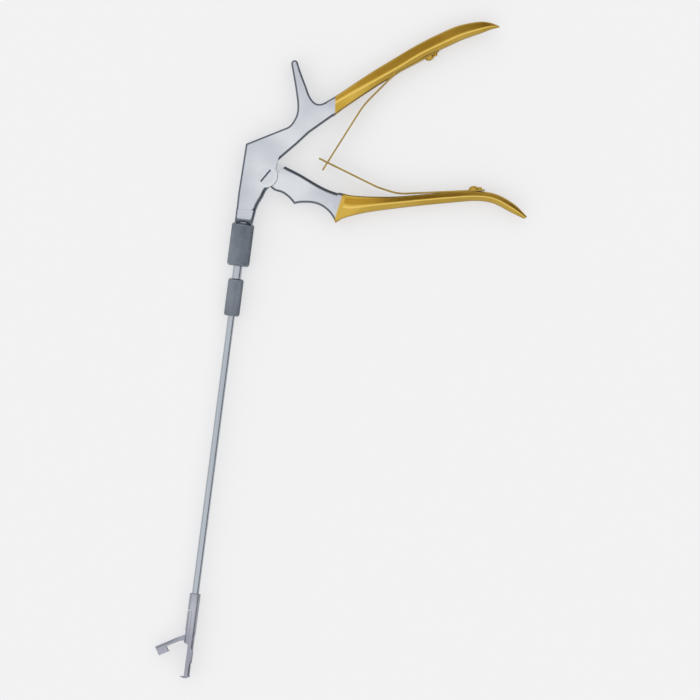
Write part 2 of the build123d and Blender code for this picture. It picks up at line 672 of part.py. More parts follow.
with BuildPart() as movable_jaw:
    with BuildSketch(jaw_side):
        Circle(jaw_hub_radius)
        with BuildLine():
            Polyline((0.3, -1.2), (arm_root_x, arm_back + 0.2), (arm_widen_start, arm_back + 0.15),
                     (arm_widen_start, arm_face), (arm_widen_start - 0.6, arm_face + 0.1), (4.0, -1.0),
                     (1.3, -0.2), close=True)
        make_face()
    extrude(amount=tongue_width / 2, both=True)
    with BuildSketch(cam_plane(cam_far / 2)):
        SlotCenterToCenter(cam_far, 2 * (cam_half + cam_wall))
    extrude(amount=tongue_width / 2, both=True)
    add(jaw_arm.part)
    with BuildSketch(jaw_top.offset(arm_face - 0.5)):
        with Locations(((cup_start + cup_end) / 2, 0)):
            RectangleRounded(cup_end - cup_start, cup_width, 0.7)
    extrude(amount=cup_rise + 0.5)
    with BuildSketch(jaw_side):
        with BuildLine():
            Polyline((cup_start + 0.5, cup_top - hook_thickness), (cup_start - hook_reach, cup_top),
                     (cup_start + 0.5, cup_top), close=True)
        make_face()
    extrude(amount=cup_width / 2 - 0.4, both=True)
    with BuildSketch(jaw_top.offset(cup_top)):
        with Locations(((cup_start + cup_end) / 2, 0)):
            RectangleRounded(cup_end - cup_start - 2 * cup_wall, cup_width - 2 * cup_wall, 0.45)
    extrude(amount=-(cup_rise - cup_floor), mode=Mode.SUBTRACT)
    with BuildSketch(cam_plane((cam_near + cam_far) / 2)):
        SlotCenterToCenter(cam_far - cam_near + fit_gap, 2 * cam_half)
    extrude(amount=tongue_width, both=True, mode=Mode.SUBTRACT)
    upright_pin(jaw_pivot_x, jaw_pivot_y, -4, 4, jaw_pin_radius + pivot_play, Mode.SUBTRACT)
finish(movable_jaw, "movable_jaw")
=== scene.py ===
from collections import namedtuple
from math import acos, atan, ceil, cos, pi, sin, tan
import bmesh
import bpy
from mathutils import Matrix, Vector


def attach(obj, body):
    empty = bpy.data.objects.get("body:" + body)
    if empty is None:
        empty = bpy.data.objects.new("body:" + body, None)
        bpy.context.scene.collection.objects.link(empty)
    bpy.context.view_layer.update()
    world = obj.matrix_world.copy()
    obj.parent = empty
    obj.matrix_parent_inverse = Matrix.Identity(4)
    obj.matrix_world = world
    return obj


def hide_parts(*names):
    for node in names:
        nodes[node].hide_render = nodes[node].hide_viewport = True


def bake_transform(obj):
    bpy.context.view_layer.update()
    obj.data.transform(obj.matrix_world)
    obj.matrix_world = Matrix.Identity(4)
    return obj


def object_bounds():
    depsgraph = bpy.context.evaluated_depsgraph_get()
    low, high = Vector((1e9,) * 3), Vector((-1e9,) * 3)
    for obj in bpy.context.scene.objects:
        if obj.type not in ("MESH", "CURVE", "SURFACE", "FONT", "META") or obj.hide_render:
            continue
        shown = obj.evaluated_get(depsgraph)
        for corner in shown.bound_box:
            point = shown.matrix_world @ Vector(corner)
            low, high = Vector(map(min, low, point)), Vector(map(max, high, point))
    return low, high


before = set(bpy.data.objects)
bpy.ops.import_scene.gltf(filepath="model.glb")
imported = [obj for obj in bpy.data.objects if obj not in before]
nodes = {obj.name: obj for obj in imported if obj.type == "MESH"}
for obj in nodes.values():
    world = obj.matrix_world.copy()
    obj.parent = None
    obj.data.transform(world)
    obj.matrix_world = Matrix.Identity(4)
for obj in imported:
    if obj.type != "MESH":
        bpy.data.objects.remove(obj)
cad_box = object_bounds()
bpy.context.scene.view_settings.view_transform = "Standard"

# Biopsy punch lying flat. Lengths are in metres, and those written in millimetres are multiplied by MM.
MM = 0.001
UP = Vector((0, 0, 1))


def srgb(red, green, blue):
    """A colour given in 0 to 255, as the linear colour that renders as it."""
    def channel(value):
        value /= 255
        return value / 12.92 if value <= 0.04045 else ((value + 0.055) / 1.055) ** 2.4
    return (channel(red), channel(green), channel(blue), 1.0)


def add_object(name, mesh):
    """An object that shows a mesh, linked into the scene."""
    piece = bpy.data.objects.new(name, mesh)
    bpy.context.scene.collection.objects.link(piece)
    return piece


# Camera: straight down on the flat instrument, as in the photograph
PIXEL = 0.55 * MM
IMAGE_SIZE = 700
ORIGIN_PIXEL = (240.7, 244.5)
CAMERA_UP = Vector((-0.9917, -0.1287, 0.0)).normalized()
CAMERA_RIGHT = CAMERA_UP.cross(UP)
CAMERA_DISTANCE = 2.4


def make_camera():
    """A long lens above the middle of the photograph's frame."""
    across = (IMAGE_SIZE / 2 - ORIGIN_PIXEL[0]) * PIXEL
    down = (IMAGE_SIZE / 2 - ORIGIN_PIXEL[1]) * PIXEL
    centre = CAMERA_RIGHT * across - CAMERA_UP * down
    data = bpy.data.cameras.new("camera")
    data.sensor_fit = "HORIZONTAL"
    data.angle = 2 * atan(IMAGE_SIZE * PIXEL / 2 / CAMERA_DISTANCE)
    data.clip_end = 50
    camera = add_object("camera", data)
    turn = Matrix((CAMERA_RIGHT, CAMERA_UP, UP)).transposed()
    camera.matrix_world = Matrix.Translation(centre + UP * CAMERA_DISTANCE) @ turn.to_4x4()
    bpy.context.scene.camera = camera


# Shader nodes
def link(tree, source, target):
    tree.links.new(source, target)


def math_node(tree, operation, first, second=None):
    """A Math node whose inputs are sockets or numbers, and its output socket."""
    node = tree.nodes.new("ShaderNodeMath")
    node.operation = operation
    for socket, value in zip(node.inputs, (first, second)):
        if value is None:
            continue
        if isinstance(value, (int, float)):
            socket.default_value = value
        else:
            link(tree, value, socket)
    return node.outputs[0]


def dot_node(tree, vector, direction):
    """How far a vector socket points along a fixed direction."""
    node = tree.nodes.new("ShaderNodeVectorMath")
    node.operation = "DOT_PRODUCT"
    link(tree, vector, node.inputs[0])
    node.inputs[1].default_value = direction
    return node.outputs["Value"]


def range_node(tree, value, limits, results=(0.0, 1.0)):
    """A smooth step of a value between two limits, from the first result to the second."""
    node = tree.nodes.new("ShaderNodeMapRange")
    node.interpolation_type = "SMOOTHSTEP"
    link(tree, value, node.inputs["Value"])
    node.inputs["From Min"].default_value, node.inputs["From Max"].default_value = limits
    node.inputs["To Min"].default_value, node.inputs["To Max"].default_value = results
    return node.outputs["Result"]


# Light and floor
FLOOR_COLOUR = srgb(243, 243, 244)
FLOOR_SIZE = 30.0
FLOOR_GLOW = 0.6
CEILING_TILT = 0.22
CEILING_LIMITS = (0.10, 0.55)
CEILING_LEVEL = 0.98
FRONT_RISE = 0.45
FRONT_LIMITS = (0.45, 0.95)
FRONT_LEVEL = 0.8
SIDE_LEVEL = 0.12


def make_world():
    """A soft bright ceiling, a lighter side towards the jaws and dark sides elsewhere."""
    world = bpy.data.worlds.new("studio")
    bpy.context.scene.world = world
    world.use_nodes = True
    tree = world.node_tree
    background = tree.nodes["Background"]
    direction = tree.nodes.new("ShaderNodeTexCoord").outputs["Generated"]
    ceiling_axis = (UP - CEILING_TILT * CAMERA_RIGHT).normalized()
    ceiling = range_node(tree, dot_node(tree, direction, ceiling_axis), CEILING_LIMITS, (0.0, CEILING_LEVEL))
    front_axis = (UP * FRONT_RISE - CAMERA_UP).normalized()
    front = range_node(tree, dot_node(tree, direction, front_axis), FRONT_LIMITS, (0.0, FRONT_LEVEL))
    level = math_node(tree, "ADD", math_node(tree, "MAXIMUM", ceiling, front), SIDE_LEVEL)
    background.inputs["Color"].default_value = (1.0, 1.0, 1.0, 1.0)
    link(tree, level, background.inputs["Strength"])


def make_floor():
    """A plain pale floor under the lowest point of the instrument, with a glow that only the camera sees,
    also in what shines or lets light through."""
    height = cad_box[0][2]
    half = FLOOR_SIZE / 2
    corners = [(-half, -half, height), (half, -half, height), (half, half, height), (-half, half, height)]
    mesh = bpy.data.meshes.new("floor")
    mesh.from_pydata(corners, [], [(0, 1, 2, 3)])
    floor = add_object("floor", mesh)
    material = bpy.data.materials.new("floor")
    material.use_nodes = True
    tree = material.node_tree
    shader = tree.nodes["Principled BSDF"]
    shader.inputs["Base Color"].default_value = FLOOR_COLOUR
    shader.inputs["Roughness"].default_value = 0.9
    shader.inputs["Specular IOR Level"].default_value = 0.0
    path = tree.nodes.new("ShaderNodeLightPath").outputs
    seen = math_node(tree, "MAXIMUM", path["Is Camera Ray"], path["Is Glossy Ray"])
    seen = math_node(tree, "MAXIMUM", seen, path["Is Transmission Ray"])
    glow = tree.nodes.new("ShaderNodeEmission")
    glow.inputs["Color"].default_value = FLOOR_COLOUR
    mixed = tree.nodes.new("ShaderNodeMixShader")
    link(tree, math_node(tree, "MULTIPLY", seen, FLOOR_GLOW), mixed.inputs[0])
    link(tree, shader.outputs["BSDF"], mixed.inputs[1])
    link(tree, glow.outputs["Emission"], mixed.inputs[2])
    link(tree, mixed.outputs["Shader"], tree.nodes["Material Output"].inputs["Surface"])
    mesh.materials.append(material)


# Materials. The tones of a steel are its lighter face and its darker face, mixed at random, and the painted
# shade of its edges.
EVEN = (1.0, 1.0, 1.0)
LENGTHWISE = (0.05, 1.0, 1.0)
NOISE_ROUGHNESS = 0.55
GRAIN_DETAIL = 4.0
GRAIN_LIMITS = (0.3, 0.7)
BUMP_STRENGTH = 0.25
# Limits of flatness below which the colour turns to painted edge shade
BROAD_EDGE_SHADE = (0.90, 0.985)
ROUND_EDGE_SHADE = (0.1, 0.62)
GOLD_EDGE_SHADE = (0.15, 0.6)
# The last tone of each of these steels is painted shade for its edges
HANDLE_TONES = (srgb(210, 214, 218), srgb(184, 187, 196), srgb(104, 110, 120))
SCREW_TONES = (srgb(204, 208, 214), srgb(186, 190, 198), srgb(96, 102, 112))
JAW_TONES = (srgb(176, 178, 188), srgb(150, 152, 163), srgb(104, 108, 118))
SHAFT_TONES = (srgb(190, 196, 202), srgb(164, 170, 179))
KNURL_TONES = (srgb(136, 143, 152), srgb(118, 125, 135))
# Painted shade for the screw's slot
SLOT_PAINTED_SHADE = srgb(84, 88, 96)
SLOT_TOP = 4.2 * MM
SLOT_SOFTNESS = 0.1 * MM
GOLD_SOFTNESS = 0.5 * MM
UPPER_GOLD_START = Vector((-87.5, 41.1, 0.0)) * MM
UPPER_GOLD_NORMAL = Vector((-0.116, 0.993, 0.0)).normalized()
LOWER_GOLD_START = Vector((-34.1, 51.9, 0.0)) * MM
LOWER_GOLD_NORMAL = Vector((0.175, 0.985, 0.0)).normalized()


def mix_colour(tree, factor, first, second):
    """Two colours, or colour sockets, mixed by a factor socket."""
    node = tree.nodes.new("ShaderNodeMix")
    node.data_type = "RGBA"
    link(tree, factor, node.inputs["Factor"])
    for socket, value in ((node.inputs[6], first), (node.inputs[7], second)):
        if isinstance(value, tuple):
            socket.default_value = value
        else:
            link(tree, value, socket)
    return node.outputs[2]


def noise_node(tree, scale, detail, stretch=EVEN):
    """Noise in the part's own frame."""
    coordinates = tree.nodes.new("ShaderNodeTexCoord").outputs["Object"]
    mapping = tree.nodes.new("ShaderNodeMapping")
    mapping.inputs["Scale"].default_value = stretch
    link(tree, coordinates, mapping.inputs["Vector"])
    noise = tree.nodes.new("ShaderNodeTexNoise")
    noise.inputs["Scale"].default_value = scale
    noise.inputs["Detail"].default_value = detail
    noise.inputs["Roughness"].default_value = NOISE_ROUGHNESS
    link(tree, mapping.outputs["Vector"], noise.inputs["Vector"])
    return noise.outputs["Fac"]


def new_metal(name, roughness):
    """An empty metal material and its node tree and shader."""
    material = bpy.data.materials.new(name)
    material.use_nodes = True
    tree = material.node_tree
    shader = tree.nodes["Principled BSDF"]
    shader.inputs["Metallic"].default_value = 1.0
    shader.inputs["Roughness"].default_value = roughness
    return material, tree, shader


def upward(tree):
    """How flat a surface lies: 1 on the broad sides of the instrument, 0 on its edges. It places the painted
    shade on the edges.
    """
    normal = tree.nodes.new("ShaderNodeNewGeometry").outputs["Normal"]
    return math_node(tree, "ABSOLUTE", dot_node(tree, normal, UP))


def add_surface(tree, shader, grain_scale, rough, bump, stretch=EVEN):
    """Fine grain: it varies the roughness between two values and lifts the surface a little."""
    grain = noise_node(tree, grain_scale, GRAIN_DETAIL, stretch)
    link(tree, range_node(tree, grain, GRAIN_LIMITS, rough), shader.inputs["Roughness"])
    bump_node = tree.nodes.new("ShaderNodeBump")
    bump_node.inputs["Strength"].default_value = BUMP_STRENGTH
    bump_node.inputs["Distance"].default_value = bump
    link(tree, grain, bump_node.inputs["Height"])
    link(tree, bump_node.outputs["Normal"], shader.inputs["Normal"])


def steel_colour(tree, tones, edge_shade_limits):
    """Satin faces in two close tones that vary at random, with painted shade on the edges where they lie less
    flat.
    """
    face, shade, painted_edge_shade = tones
    patches = range_node(tree, noise_node(tree, 28.0, 2.0), (0.35, 0.65))
    faces = mix_colour(tree, patches, shade, face)
    # Painted shade: the edge tone where the surface lies less flat
    return mix_colour(tree, range_node(tree, upward(tree), edge_shade_limits), painted_edge_shade, faces)


def attribute_value(tree, name):
    """A number kept at each point of a grip's mesh."""
    node = tree.nodes.new("ShaderNodeAttribute")
    node.attribute_name = name
    return node.outputs["Fac"]


def gold_colour(tree):
    """Warm gold with faint tarnish in patches, painted shade on one flank, a painted highlight along the
    ridge and painted shade where it lies less flat."""
    patches = range_node(tree, noise_node(tree, 45.0, 3.0), (0.3, 0.7))
    yellow = mix_colour(tree, patches, srgb(184, 150, 56), srgb(202, 168, 76))
    # Painted shade: a browner gold for the flank that is marked as shaded
    painted_shade = mix_colour(tree, patches, srgb(162, 122, 38), srgb(178, 138, 50))
    flanks_with_painted_shade = mix_colour(tree, attribute_value(tree, "painted_shade_flank"), yellow, painted_shade)
    # Painted highlight: a light gold line along the ridge
    faces = mix_colour(tree, attribute_value(tree, "ridge"), flanks_with_painted_shade, srgb(226, 194, 104))
    # Painted shade on the edges, where the gold lies less flat
    return mix_colour(tree, range_node(tree, upward(tree), GOLD_EDGE_SHADE), srgb(150, 120, 40), faces)


def leaf_colour(tree):
    """Thin gold on spring steel, which looks olive."""
    patches = range_node(tree, noise_node(tree, 60.0, 3.0), (0.3, 0.7))
    return mix_colour(tree, patches, srgb(142, 118, 56), srgb(166, 140, 72))


def beyond(tree, point, normal, softness):
    """1 on the far side of a plane through a point, 0 on the near side, with a soft change."""
    position = tree.nodes.new("ShaderNodeTexCoord").outputs["Object"]
    distance = math_node(tree, "SUBTRACT", dot_node(tree, position, normal), point.dot(normal))
    return range_node(tree, distance, (-softness, softness))


def make_handle_material(name, point, normal):
    """Satin steel up to a plane across the grip and gold plating beyond it, both with painted shade on their
    edges.
    """
    material, tree, shader = new_metal(name, 0.35)
    steel = steel_colour(tree, HANDLE_TONES, BROAD_EDGE_SHADE)
    gold = beyond(tree, point, normal, GOLD_SOFTNESS)
    link(tree, mix_colour(tree, gold, steel, gold_colour(tree)), shader.inputs["Base Color"])
    add_surface(tree, shader, 900.0, (0.28, 0.42), 0.03 * MM)
    return material


def make_screw_material():
    """Satin steel with painted shade in the slot below the face of the head and on the edges."""
    rough = (0.25, 0.4)
    material, tree, shader = new_metal("screw_steel", rough[0])
    # Painted shade: all of the screw below the face of the head is dark, which darkens its slot
    above = beyond(tree, UP * SLOT_TOP, UP, SLOT_SOFTNESS)
    colour = mix_colour(tree, above, SLOT_PAINTED_SHADE, steel_colour(tree, SCREW_TONES, BROAD_EDGE_SHADE))
    link(tree, colour, shader.inputs["Base Color"])
    add_surface(tree, shader, 700.0, rough, 0.02 * MM)
    return material


def make_jaw_material():
    """Satin steel, ground lengthwise, with painted shade only at its sides."""
    rough = (0.22, 0.38)
    material, tree, shader = new_metal("jaw_steel", rough[0])
    link(tree, steel_colour(tree, JAW_TONES, ROUND_EDGE_SHADE), shader.inputs["Base Color"])
    add_surface(tree, shader, 700.0, rough, 0.02 * MM, LENGTHWISE)
    return material


def make_round_steel_material(name, tones, rough, stretch):
    """Turned steel in two close tones."""
    material, tree, shader = new_metal(name, rough[0])
    light, dark = tones
    patches = range_node(tree, noise_node(tree, 60.0, 2.0, stretch), (0.3, 0.7))
    link(tree, mix_colour(tree, patches, dark, light), shader.inputs["Base Color"])
    add_surface(tree, shader, 1100.0, rough, 0.01 * MM, stretch)
    return material


def make_gold_material(name, make_colour, rough):
    """A piece that is plated all over."""
    material, tree, shader = new_metal(name, rough[0])
    link(tree, make_colour(tree), shader.inputs["Base Color"])
    add_surface(tree, shader, 900.0, rough, 0.02 * MM)
    return material


fixed_metal = make_handle_material("fixed_handle_metal", UPPER_GOLD_START, UPPER_GOLD_NORMAL)
movable_metal = make_handle_material("movable_handle_metal", LOWER_GOLD_START, LOWER_GOLD_NORMAL)
screw_steel = make_screw_material()
jaw_steel = make_jaw_material()
shaft_steel = make_round_steel_material("shaft_steel", SHAFT_TONES, (0.2, 0.32), LENGTHWISE)
knurled_steel = make_round_steel_material("knurled_steel", KNURL_TONES, (0.38, 0.5), EVEN)
gold_leaf = make_gold_material("gold_leaf", leaf_colour, (0.3, 0.42))
gold_screw = make_gold_material("gold_screw", gold_colour, (0.2, 0.3))

NODE_MATERIALS = {
    fixed_metal: ["fixed_handle"],
    movable_metal: ["movable_handle"],
    screw_steel: ["pivot_screw"],
    gold_screw: ["upper_spring_screw", "upper_spring_pin", "lower_spring_screw", "lower_spring_pin"],
    gold_leaf: ["upper_leaf_spring", "lower_leaf_spring"],
    knurled_steel: ["coupling_nut", "rotation_sleeve"],
    shaft_steel: ["shaft_spigot", "thrust_washer", "shaft_tube", "rod_guide_bush", "push_rod",
                  "rod_ball_end"],
    jaw_steel: ["fixed_jaw", "jaw_pivot_pin", "drive_bar", "drive_pin", "movable_jaw"],
}
for material, names in NODE_MATERIALS.items():
    for name in names:
        for material_slot in nodes[name].material_slots:
            material_slot.material = material


# Meshes
def flat_point(pair):
    """A point in the handle's plane, given in millimetres."""
    return Vector((pair[0], pair[1], 0.0)) * MM


def tube_faces(ring_count, around):
    """The faces of a tube through rings of points, with a cap at each end."""
    total = ring_count * around
    faces = [tuple(reversed(range(around))), tuple(range(total - around, total))]
    for ring in range(ring_count - 1):
        here, there = ring * around, (ring + 1) * around
        for i in range(around):
            j = (i + 1) % around
            faces.append((here + i, here + j, there + j, there + i))
    return faces


def new_piece(name, vertices, faces, material, smooth=True):
    """A mesh piece from its points and faces, with its normals turned outwards."""
    mesh = bpy.data.meshes.new(name)
    mesh.from_pydata([tuple(vertex) for vertex in vertices], [], faces)
    work = bmesh.new()
    work.from_mesh(mesh)
    bmesh.ops.remove_doubles(work, verts=work.verts, dist=1e-7)
    bmesh.ops.recalc_face_normals(work, faces=work.faces)
    work.to_mesh(mesh)
    work.free()
    for face in mesh.polygons:
        face.use_smooth = smooth
    mesh.materials.append(material)
    return add_object(name, mesh)


# Handles. A row is one section of a grip, in millimetres: the outer and the inner edge in the handle's
# plane, the half thickness at the outer edge, the ridge and the inner edge, the ridge's place as a share of
# the width from the middle, and how far the corners are cut back.
Row = namedtuple("Row", ["outer_x", "outer_y", "inner_x", "inner_y", "outer_half", "ridge_half", "inner_half",
                         "ridge_share", "corner_cut"])
UPPER_ROWS = [Row(*values) for values in (
    (-83.6, 36.3, -76.7, 41.4, 4.42, 4.42, 4.42, 0.0, 1.5),
    (-84.6, 37.5, -77.6, 42.6, 4.50, 4.54, 4.50, -0.1, 1.5),
    (-87.8, 41.6, -81.6, 46.8, 4.1, 4.95, 4.2, -0.1, 1.2),
    (-101.9, 57.7, -95.8, 63.0, 2.8, 6.0, 3.7, 0.12, 1.0),
    (-111.5, 69.6, -105.2, 74.7, 2.5, 6.4, 3.5, 0.2, 1.0),
    (-121.2, 82.0, -114.6, 86.5, 2.4, 6.45, 3.4, 0.2, 1.0),
    (-129.6, 94.4, -122.5, 98.8, 2.4, 6.45, 3.3, 0.2, 1.0),
    (-134.8, 103.6, -127.7, 107.2, 2.3, 6.2, 3.0, 0.2, 1.0),
    (-138.4, 114.6, -132.2, 116.2, 1.8, 4.8, 2.4, 0.18, 0.9),
    (-138.6, 120.6, -135.0, 121.4, 1.4, 3.5, 1.8, 0.12, 0.8),
    (-137.6, 125.0, -136.5, 125.3, 0.9, 1.9, 1.0, 0.0, 0.5),
)]
LOWER_ROWS = [Row(*values) for values in (
    (-20.9, 51.4, -34.7, 52.4, 4.42, 4.42, 4.42, 0.0, 1.5),
    (-21.0, 52.9, -34.7, 54.0, 4.50, 4.54, 4.50, 0.0, 1.5),
    (-22.8, 56.8, -34.6, 58.0, 4.2, 4.9, 4.2, -0.08, 1.3),
    (-26.1, 65.6, -35.2, 66.8, 2.8, 6.0, 3.7, -0.1, 1.0),
    (-29.8, 79.0, -36.9, 80.3, 2.4, 6.4, 3.5, -0.06, 1.0),
    (-33.9, 95.3, -40.3, 96.5, 2.4, 6.45, 3.4, -0.05, 1.0),
    (-37.4, 110.6, -43.5, 111.6, 2.4, 6.45, 3.2, -0.05, 1.0),
    (-40.4, 125.2, -45.8, 125.8, 2.4, 6.4, 3.0, -0.05, 1.0),
    (-40.3, 134.6, -45.5, 135.8, 2.2, 5.8, 2.7, -0.05, 0.9),
    (-36.8, 144.6, -41.2, 146.6, 1.8, 4.4, 2.2, -0.05, 0.8),
    (-34.2, 152.2, -35.7, 153.9, 0.9, 2.1, 1.1, 0.0, 0.5),
)]
STEPS_PER_ROW = 10
CORNER_SHARE = 0.42
CORNER_STEPS = (0.0, 0.2, 0.4, 0.6, 0.8, 1.0)
FLANK_STEPS = (0.12, 0.5, 0.88)
# Section corners that get the painted ridge highlight, and flanks that get painted shade on the upper and the
# lower grip
RIDGE_CORNERS = (1, 4)
OUTER_FLANKS = (0, 4)
INNER_FLANKS = (1, 3)
TIP_REACH = 0.6 * MM
TIP_STEPS = ((0.3, 0.97), (0.6, 0.85), (0.85, 0.6), (1.0, 0.25))
SEAT_OVERRUN = 0.2 * MM
UPPER_CUT, UPPER_CUT_NORMAL = flat_point((-80.9, 39.9)), Vector((-0.60, 0.80, 0.0))
LOWER_CUT, LOWER_CUT_NORMAL = flat_point((-27.8, 53.3)), Vector((0.08, 0.997, 0.0))

LEAF_THICKNESS = 0.85 * MM
LEAF_HALF = 3.0 * MM
LEAF_STEP = 1.0 * MM
LEAF_COLUMNS = (-1.0, -0.57, 0.57, 1.0)
LEAF_WINDOW = (3.2 * MM, 11.2 * MM)
TONGUE_HALF = 1.3 * MM
TONGUE_LENGTH = 12.0 * MM
TAPER_LENGTH = 22.0 * MM
BEND_STEPS = 12
UPPER_ROUTE, UPPER_BENDS = [(-119.6, 94.4), (-103.9, 72.0), (-84.9, 57.3), (-46.3, 39.4)], (34.0, 45.0)
LOWER_ROUTE, LOWER_BENDS = [(-46.9, 129.2), (-38.7, 82.2), (-41.0, 70.2), (-52.5, 36.7)], (25.0, 25.0)

HEAD_SIDES = 40
HEAD_SINK, HEAD_EDGE, HEAD_STEPS = 0.1, 0.2, 9
SCREW_RADIUS, SCREW_HEIGHT, SCREW_BACK = 2.8, 2.2, 6.0 * MM
PIN_RADIUS, PIN_HEIGHT, PIN_BACK = 1.35, 1.5, 2.6 * MM

# The nose's sections in millimetres: place along the shaft, low and high side, half thickness
NOSE_ROWS = ((-20.5, -4.6, 5.9, 4.3), (-19.0, -4.85, 5.95, 4.56), (-15.6, -4.8, 5.5, 4.95),
             (-12.2, -4.75, 5.15, 4.98))
NOSE_LOW_BEND, NOSE_HIGH_BEND = 1.5, 2.4


def edge_points(row):
    """The outer and the inner edge of a section."""
    return flat_point((row.outer_x, row.outer_y)), flat_point((row.inner_x, row.inner_y))


def middle_point(row):
    outer, inner = edge_points(row)
    return (outer + inner) / 2


def smooth_rows(rows):
    """The rows joined by a smooth curve through them, evenly spread by their middle points."""
    places = [0.0]
    for before, after in zip(rows, rows[1:]):
        places.append(places[-1] + (middle_point(after) - middle_point(before)).length)
    slopes = []
    for i in range(len(rows)):
        low, high = max(0, i - 1), min(len(rows) - 1, i + 1)
        slopes.append([(b - a) / (places[high] - places[low]) for a, b in zip(rows[low], rows[high])])
    result = []
    for i in range(len(rows) - 1):
        span = places[i + 1] - places[i]
        count = STEPS_PER_ROW if i < len(rows) - 2 else STEPS_PER_ROW + 1
        for k in range(count):
            t = k / STEPS_PER_ROW
            h00, h10 = 2 * t ** 3 - 3 * t ** 2 + 1, t ** 3 - 2 * t ** 2 + t
            h01, h11 = -2 * t ** 3 + 3 * t ** 2, t ** 3 - t ** 2
            result.append(Row(*(h00 * a + h10 * span * ma + h01 * b + h11 * span * mb
                                for a, b, ma, mb in zip(rows[i], rows[i + 1], slopes[i], slopes[i + 1]))))
    return result


def ring_points(row, scale=1.0):
    """One ridged section of a grip with rounded corners, across it in its own plane."""
    outer, inner = edge_points(row)
    width = (inner - outer).length
    across = (inner - outer).normalized()
    middle = (outer + inner) / 2
    ridge = row.ridge_share * width
    outer_half, ridge_half, inner_half = row.outer_half * MM, row.ridge_half * MM, row.inner_half * MM
    corners = [Vector(pair) for pair in (
        (-width / 2, -outer_half), (ridge, -ridge_half), (width / 2, -inner_half),
        (width / 2, inner_half), (ridge, ridge_half), (-width / 2, outer_half))]
    ends = []
    for i, corner in enumerate(corners):
        for towards in (corners[i - 1], corners[(i + 1) % len(corners)]):
            side = towards - corner
            cut = min(row.corner_cut * MM, CORNER_SHARE * side.length)
            ends.append(corner + side * (cut / side.length))
    result = []
    for i, corner in enumerate(corners):
        first, last, following = ends[2 * i], ends[2 * i + 1], ends[(2 * i + 2) % len(ends)]
        for t in CORNER_STEPS:
            result.append(first * (1 - t) ** 2 + corner * 2 * t * (1 - t) + last * t ** 2)
        for t in FLANK_STEPS:
            result.append(last + (following - last) * t)
    return [middle + across * (point.x * scale) + UP * (point.y * scale) for point in result]


def leaf_directions(route):
    """Along a leaf from its clamped end, and away from the grip on which it lies."""
    end, corner, tip = flat_point(route[0]), flat_point(route[1]), flat_point(route[-1])
    along = (corner - end).normalized()
    normal = along.cross(UP)
    return along, normal if normal.dot(tip - end) > 0 else -normal


def mark_painted_highlight_and_shade(mesh, around, painted_shade_flanks):
    """Keep at each point of a grip whether it gets the painted highlight along the ridge or the painted shade
    on one flank.
    """
    corner = len(CORNER_STEPS)
    ridge = mesh.attributes.new("ridge", "FLOAT", "POINT")
    painted_shade = mesh.attributes.new("painted_shade_flank", "FLOAT", "POINT")
    # Painted highlight on the middle of the ridge corners, painted shade on the chosen flanks
    for i in range(len(mesh.vertices)):
        section, step = divmod(i % around, corner + len(FLANK_STEPS))
        ridge.data[i].value = 1.0 if section in RIDGE_CORNERS and 1 < step < corner - 2 else 0.0
        painted_shade.data[i].value = 1.0 if section in painted_shade_flanks and step >= corner else 0.0


def grip_piece(name, node, body, rows, route, material, painted_shade_flanks):
    """A ridged grip through its sections, rounded at the tip, with a flat land where its leaf lies."""
    sections = smooth_rows(rows)
    rings = [ring_points(row) for row in sections]
    forward = (middle_point(sections[-1]) - middle_point(sections[-2])).normalized() * TIP_REACH
    for reach, scale in TIP_STEPS:
        rings.append([point + forward * reach for point in ring_points(sections[-1], scale)])
    vertices = [vertex for ring in rings for vertex in ring]
    seat_end, seat_start = flat_point(route[0]), flat_point(route[1])
    length = (seat_start - seat_end).length
    along, normal = leaf_directions(route)
    for vertex in vertices:
        offset = vertex - seat_end
        if -SEAT_OVERRUN < offset.dot(along) < length:
            above = offset.dot(normal) + LEAF_THICKNESS / 2
            if above > 0:
                vertex -= normal * above
    around = len(rings[0])
    piece = new_piece(name, vertices, tube_faces(len(rings), around), material)
    # Mark the painted ridge highlight and the painted shade on one flank
    mark_painted_highlight_and_shade(piece.data, around, painted_shade_flanks)
    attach(piece, body)
    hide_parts(node)


def steel_part(name, node, body, point, normal, material):
    """The steel side of a handle: its CAD shape up to a plane across the start of the grip."""
    mesh = nodes[node].data.copy()
    work = bmesh.new()
    work.from_mesh(mesh)
    cut = bmesh.ops.bisect_plane(work, geom=work.verts[:] + work.edges[:] + work.faces[:], plane_co=point,
                                 plane_no=normal, clear_outer=True)
    rim = [item for item in cut["geom_cut"] if isinstance(item, bmesh.types.BMEdge)]
    bmesh.ops.holes_fill(work, edges=rim, sides=0)
    work.to_mesh(mesh)
    work.free()
    mesh.materials.clear()
    mesh.materials.append(material)
    piece = add_object(name, mesh)
    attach(piece, body)
    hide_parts(node)


def leaf_path(route, bends):
    """Points along a leaf: straight runs joined by arcs of the given radii, in millimetres."""
    corners = [flat_point(pair) for pair in route]
    stretches = [corners[0]]
    for i, bend in enumerate(bends, 1):
        before = (corners[i - 1] - corners[i]).normalized()
        after = (corners[i + 1] - corners[i]).normalized()
        turn = pi - acos(before.dot(after))
        reach = bend * MM * tan(turn / 2)
        centre = corners[i] + (before + after).normalized() * (bend * MM / cos(turn / 2))
        first, last = corners[i] + before * reach - centre, corners[i] + after * reach - centre
        for k in range(BEND_STEPS + 1):
            t = k / BEND_STEPS
            arm = first * (sin((1 - t) * turn) / sin(turn)) + last * (sin(t * turn) / sin(turn))
            stretches.append(centre + arm)
    stretches.append(corners[-1])
    points = [stretches[0]]
    for start, end in zip(stretches, stretches[1:]):
        count = max(1, ceil((end - start).length / LEAF_STEP))
        points += [start.lerp(end, k / count) for k in range(1, count + 1)]
    return points


